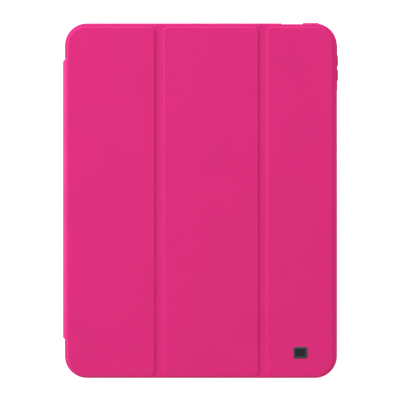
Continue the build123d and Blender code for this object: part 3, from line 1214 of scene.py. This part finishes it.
@dataclass
class Spine:
    """The strip down the spine, from the seam under the upper bend to the flap on the back."""

    cover: CoverSizes
    sizes: SpineSizes

    def leather_slices(self) -> list[Slice]:
        """Slices of the leather from the upper seam, round the lower bend, to the flap's end.

        Returns:
            The slices in order.
        """
        size = self.sizes
        slices = []

        def add(x: float, z: float, inward: Vector, hem: float, pinch: float = 0.0) -> None:
            """Adds a slice whose ends are drawn in by a pinch."""
            low, high = size.low + pinch, size.high - pinch
            slices.append(Slice(Vector((x, 0, z)), inward, size.skin, hem, low, high))

        thin_hem = size.skin + 0.02 * MM
        radius, east, up = size.foot_radius, Vector((1, 0, 0)), Vector((0, 0, 1))
        for share in (0.0, 0.15, 0.35, 0.6, 0.85):
            add(size.outer, size.seam_height + (radius - size.seam_height) * share, east, size.stack)
        for i, turn in enumerate(quarter(10)):
            inward = east * math.cos(turn) + up * math.sin(turn)
            hem = size.stack + (thin_hem - size.stack) * eased(i / 10)
            x = size.outer + radius * (1 - math.cos(turn))
            add(x, radius * (1 - math.sin(turn)), inward, hem)
        start, end = size.outer + radius, size.flap_end - size.flap_corner
        for share in (0.04, 0.2, 0.5, 0.8, 1.0):
            add(start + (end - start) * share, 0.0, up, thin_hem)
        for turn in quarter(8)[1:]:
            reach = size.flap_corner * math.sin(turn)
            add(end + reach, 0.0, up, thin_hem, size.flap_corner * (1 - math.cos(turn)))
        return slices

    def leather(self, finish: bpy.types.Material) -> Piece:
        """Makes the strip's leather in one sheet with the flap.

        Args:
            finish: The leather's material.

        Returns:
            The piece.
        """
        mesh = RingMesh()
        slices = self.leather_slices()
        # The whole strip gets a little of the lighter edge colour, rubbing along with a painted highlight,
        # and the flap's rounded rim gets more.
        for cut in slices:
            mesh.ring(slice_ring(cut, self.sizes.round_over, self.sizes.hem), 0.1)
        last = slices[-1]
        rounded = last.outer + Vector((0.2 * MM, 0, 0.2 * MM))
        rim = replace(last, outer=rounded, thickness=0.45 * MM, hem=0.47 * MM)
        mesh.ring(slice_ring(rim, self.sizes.round_over, self.sizes.hem), 0.3)
        return mesh.made("spine_leather", finish)

    def lining(self, finish: bpy.types.Material) -> Piece:
        """Makes the strip's lining, tucked in at its foot against the tray.

        Args:
            finish: The lining's material.

        Returns:
            The piece.
        """
        size, mesh = self.sizes, RingMesh()
        x = size.outer + size.stack
        foot = size.lining_foot
        tuck_x, tuck_z = size.lining_tuck
        east, up = Vector((1, 0, 0)), Vector((0, 0, 1))
        low, high = size.low + size.lining_inset, size.high - size.lining_inset
        slices = []
        for share in (0.0, 0.2, 0.5, 0.8):
            z = size.seam_height + (foot - size.seam_height) * share
            slices.append(Slice(Vector((x, 0, z)), east, size.lining, size.lining, low, high))
        for turn in quarter(7):
            place = Vector((x + tuck_x * (1 - math.cos(turn)), 0, foot - tuck_z * math.sin(turn)))
            inward = east * math.cos(turn) + up * math.sin(turn)
            slices.append(Slice(place, inward, size.lining, size.lining, low, high))
        for cut in slices:
            mesh.ring(slice_ring(cut, 0.12 * MM, 0.5 * MM))
        return mesh.made("spine_lining_strip", finish)

    def build(self, finishes: Finishes) -> list[Piece]:
        """Makes both sheets, bends them across the spine's hinge and dresses the board.

        Args:
            finishes: The case's finishes.

        Returns:
            The pieces.
        """
        size = self.sizes
        leather, lining = self.leather(finishes.leather), self.lining(finishes.lining)
        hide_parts("spine_skin", "back_flap_skin")
        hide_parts("spine_lining")
        (near_x, near_z), (far_x, far_z) = size.hinge_start, size.hinge_end
        start, end = (size.outer + near_x, 0, near_z), (size.outer + far_x, 0, far_z)
        for piece in (leather, lining):
            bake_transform(piece, "shell", "spine", start=start, end=end)
        return [leather, lining, *dress(finishes.board, "spine_board")]


# ---------------------------------------------------------------- badge, tray and hidden pieces


@dataclass
class Badge:
    """A small blackened plate with a raised frame and a dished middle."""

    corner: float = 1.6 * MM
    bevel: float = 0.25 * MM
    frame_width: float = 1.35 * MM
    dish: float = 0.22 * MM

    def build(self, finishes: Finishes) -> Piece:
        """Makes the plate and sets it on the last panel.

        Args:
            finishes: The case's finishes.

        Returns:
            The piece.
        """
        low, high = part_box("badge")
        corner = Corner(self.corner)
        plate = Outline(low.x, low.y, high.x, high.y, corner, corner, corner, corner)
        stops = Stops((), (), (), turn=8)
        mesh = RingMesh()
        inner = self.bevel + self.frame_width
        steps = (
            (inner + 1.6 * MM, high.z - self.dish, 0.0),
            (inner + 0.45 * MM, high.z - self.dish, 0.0),
            (inner + 0.25 * MM, high.z - self.dish + 0.04 * MM, 0.0),
            (inner, high.z - 0.04 * MM, 0.6),
            (inner - 0.1 * MM, high.z, 0.8),
            (self.bevel + 0.1 * MM, high.z, 0.8),
            (self.bevel, high.z - 0.02 * MM, 1.0),
            (0.03 * MM, high.z - self.bevel, 0.6),
            (0.0, high.z - self.bevel - 0.06 * MM, 0.1),
            (0.0, low.z, 0.0),
        )
        # The frame and bevel get the metal's lighter edge colour: bared metal from rubbing along with a
        # painted highlight on the rim.
        for inset, height, wear_and_highlight in steps:
            mesh.ring(level(plate.inset(inset).ring(stops), height), wear_and_highlight)
        piece = mesh.made("badge_plate", finishes.badge)
        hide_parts("badge")
        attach(piece, "panel_3")
        return piece


@dataclass
class Tray:
    """The moulded back shell with its three buttons, shown as they are in the frame."""

    buttons: tuple[str, ...] = ("volume_up_button", "volume_down_button", "power_button")

    def build(self, finishes: Finishes) -> list[Piece]:
        """Dresses the shell and the buttons."""
        return dress(finishes.shell, "back_shell") + dress(finishes.button, *self.buttons)


@dataclass
class Magnets:
    """The bars and the disc inside the boards."""

    nodes: tuple[str, ...] = ("stand_magnets", "closure_magnets", "wake_magnet")

    def build(self, finishes: Finishes) -> list[Piece]:
        """Dresses the magnets."""
        return dress(finishes.magnet, *self.nodes)


# ---------------------------------------------------------------- studio


@dataclass
class Softbox:
    """One large soft lamp."""

    name: str
    place: Vector
    aim: Vector
    size: float
    watts: float
    colour: Colour = (0.84, 0.96, 1.45)

    def build(self) -> None:
        """Hangs the lamp and turns it towards its aim."""
        lamp = bpy.data.lights.new(self.name, "AREA")
        lamp.shape = "SQUARE"
        lamp.size = self.size
        lamp.energy = self.watts
        lamp.color = self.colour
        holder = placed(self.name, lamp)
        holder.location = self.place
        holder.rotation_mode = "QUATERNION"
        holder.rotation_quaternion = (self.aim - self.place).to_track_quat("-Z", "Y")
        holder.visible_camera = False


@dataclass
class Studio:
    """Pale floor, even daylight, one low soft lamp at the upper left and a long-lens camera."""

    floor_drop: float = 85 * MM
    floor_reach: float = 30.0
    daylight: float = 0.855
    daylight_lean: float = 0.30
    brighter_side: Colour = (-0.8, 0.6, 0.0)
    view_width: float = 322.8 * MM
    view_centre: tuple[float, float] = (-0.72 * MM, 0.52 * MM)
    camera_height: float = 2.4
    sensor: float = 36.0

    def floor(self, material: bpy.types.Material) -> None:
        """Lays the floor just below the lowest place that the opened cover reaches.

        Args:
            material: The floor's finish.
        """
        mesh = bmesh.new()
        bmesh.ops.create_grid(mesh, x_segments=4, y_segments=4, size=self.floor_reach)
        data = bpy.data.meshes.new("studio_floor")
        mesh.to_mesh(data)
        mesh.free()
        data.materials.append(material)
        piece = placed("studio_floor", data)
        piece.location.z = -self.floor_drop

    def light(self) -> None:
        """Sets the even daylight and the low lamp at the upper left."""
        world = bpy.data.worlds.new("studio_daylight")
        world.use_nodes = True
        tree = world.node_tree
        heading = add_node(tree, "TexCoord", {}).outputs["Generated"]
        side = Vector(self.brighter_side).normalized()
        facing = add_node(tree, "VectorMath", {0: heading, 1: side}, operation="DOT_PRODUCT")
        dimmest = self.daylight * (1.0 - self.daylight_lean)
        brightest = self.daylight * (1.0 + self.daylight_lean)
        facing_it = facing.outputs["Value"]
        values = {"Value": facing_it, "From Min": -1.0, "To Min": dimmest, "To Max": brightest}
        strength = add_node(tree, "MapRange", values).outputs["Result"]
        fill(tree.nodes["Background"], {"Color": (1.0, 1.0, 1.0, 1.0), "Strength": strength})
        bpy.context.scene.world = world
        middle = Vector((0, 0, 0))
        Softbox("left_softbox", Vector((-1.05, 0.25, 0.50)), middle, 0.5, 5.6).build()
        Softbox("top_softbox", Vector((-0.50, 1.90, 0.95)), middle, 0.9, 22.0).build()

    def camera(self) -> None:
        """Hangs the camera straight above the cover."""
        lens = bpy.data.cameras.new("front_camera")
        lens.sensor_width = self.sensor
        waist = (box_low("power_button").z + box_high("power_button").z) / 2
        lens.lens = self.sensor * (self.camera_height - waist) / self.view_width
        holder = placed("front_camera", lens)
        holder.location = (*self.view_centre, self.camera_height)
        bpy.context.scene.camera = holder

    def build(self, material: bpy.types.Material) -> None:
        """Sets up the floor, the light and the camera.

        Args:
            material: The floor's finish.
        """
        self.floor(material)
        self.light()
        self.camera()
        bpy.context.scene.view_settings.view_transform = "Standard"


# ---------------------------------------------------------------- the whole case


def panels(cover: CoverSizes, spine: SpineSizes) -> list[Panel]:
    """The three panels, each from one fold's seam or the cover's edge to the next.

    Args:
        cover: The cover's sizes.
        spine: The spine's sizes.

    Returns:
        The panels, from the spine to the free edge.
    """
    first, second = Fold(1, cover, spine).middle, Fold(2, cover, spine).middle
    reach = cover.seam_offset
    return [
        Panel(1, cover.left, first - reach, Edge.BEND, Edge.SEAM, cover, spine),
        Panel(2, first + reach, second - reach, Edge.SEAM, Edge.SEAM, cover, spine),
        Panel(3, second + reach, cover.right, Edge.SEAM, Edge.FREE, cover, spine),
    ]


def main() -> None:
    logging.basicConfig(level=logging.INFO, format="%(name)s: %(message)s")
    finishes = Finishes.mixed()
    Studio().build(finishes.floor)
    cover, spine = CoverSizes.from_frame(), SpineSizes.from_frame()
    made: list[Piece] = []
    for panel in panels(cover, spine):
        made += panel.build(finishes)
    for number in (1, 2):
        made += Fold(number, cover, spine).build(finishes)
    made += Spine(cover, spine).build(finishes)
    made.append(Badge().build(finishes))
    made += Tray().build(finishes)
    made += Magnets().build(finishes)


if __name__ == "__main__":
    main()
